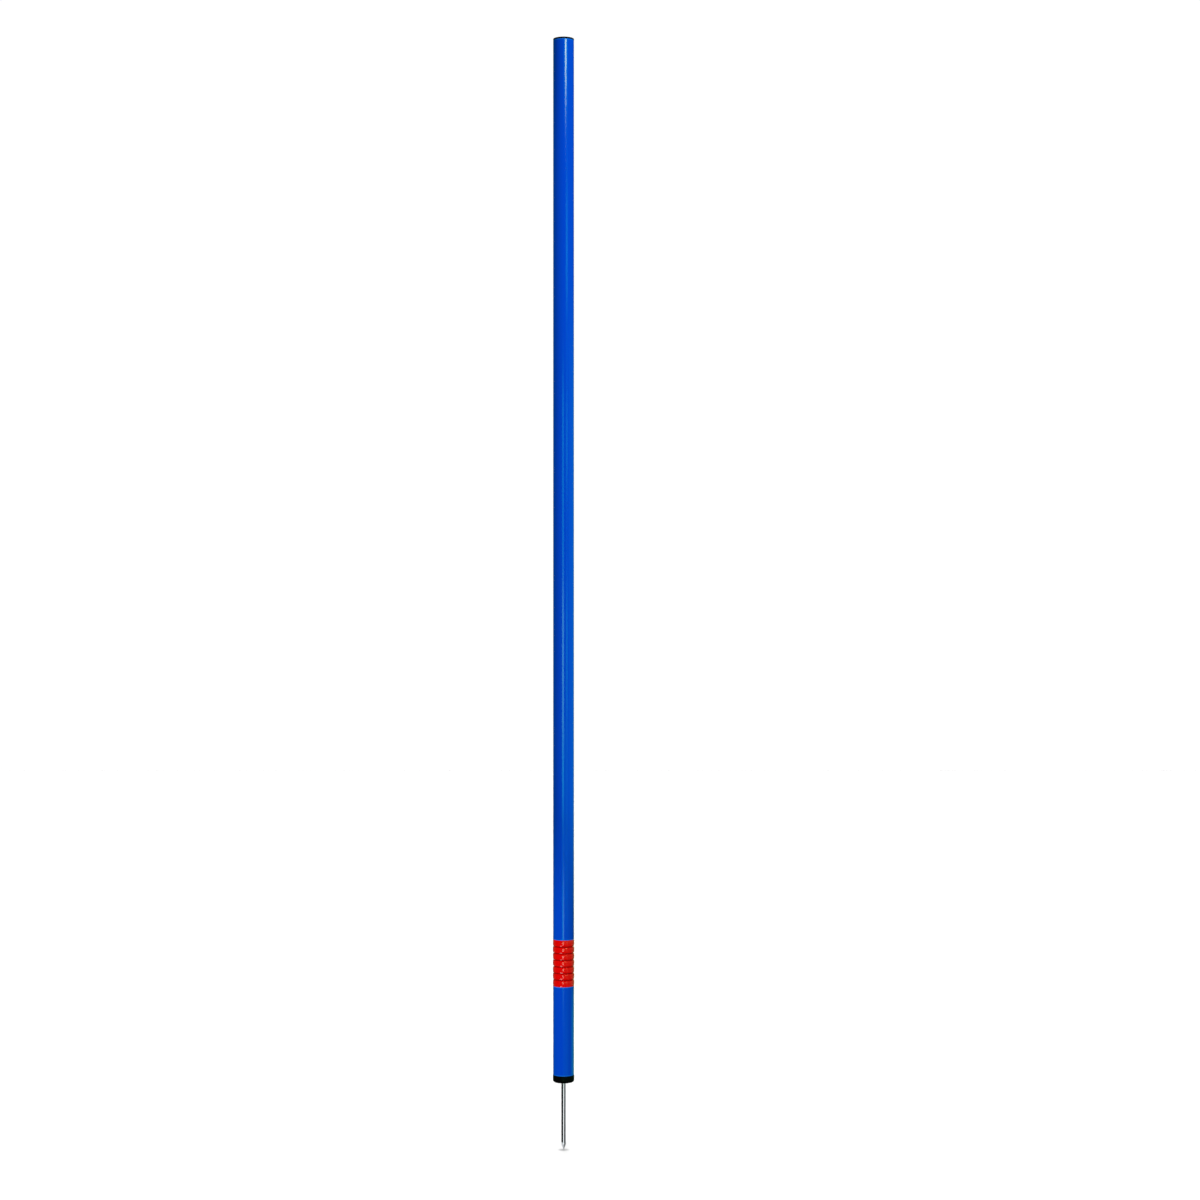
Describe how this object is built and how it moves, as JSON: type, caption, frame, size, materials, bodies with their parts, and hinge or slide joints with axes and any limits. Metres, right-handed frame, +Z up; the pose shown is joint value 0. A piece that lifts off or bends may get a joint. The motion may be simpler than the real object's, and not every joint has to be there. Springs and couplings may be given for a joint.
{
  "type": "slalom pole",
  "caption": "Upright plastic slalom pole on a steel ground spike, with a ribbed rubber flex joint low down that springs back when hit.",
  "frame": {"origin": "at ground level, on the pole's axis, in the middle of the foot cap's underside, where the spike leaves it", "axes": "+Z up along the pole, -Z down the spike; the pole is round, so +X and +Y are free: one diagonal of the square spike point lies along X"},
  "size_m": [0.0326, 0.0326, 1.7009],
  "materials": {
    "tube_blue": "glossy extruded plastic, through-coloured royal blue",
    "cap_black": "satin moulded black plastic",
    "boot_red": "smooth semi-gloss moulded red rubber",
    "nylon": "natural nylon, satin",
    "spring_steel": "oiled spring wire",
    "zinc_steel": "bright zinc plate"
  },
  "bodies": {
    "base": {"lower_tube": "tube_blue", "foot_cap": "cap_black", "spike": "zinc_steel", "spike_washer": "zinc_steel", "spike_lock_washer": "zinc_steel", "spike_nut": "zinc_steel", "lower_spring_plug": "nylon"},
    "core": {"coil_spring": "spring_steel", "flex_boot": "boot_red"},
    "upper": {"upper_tube": "tube_blue", "top_cap": "cap_black", "upper_spring_plug": "nylon"}
  },
  "joints": [
    {"name": "bend_x", "type": "hinge", "parent": "base", "child": "core", "pos_m": [0, 0, 0.16495], "axis": [1, 0, 0], "range_deg": [-60, 60], "stiffness_Nm_per_rad": 12, "deforming": ["flex_boot", "coil_spring"]},
    {"name": "bend_y", "type": "hinge", "parent": "core", "child": "upper", "pos_m": [0, 0, 0.20045], "axis": [0, 1, 0], "range_deg": [-60, 60], "stiffness_Nm_per_rad": 12, "deforming": ["flex_boot", "coil_spring"]}
  ]
}
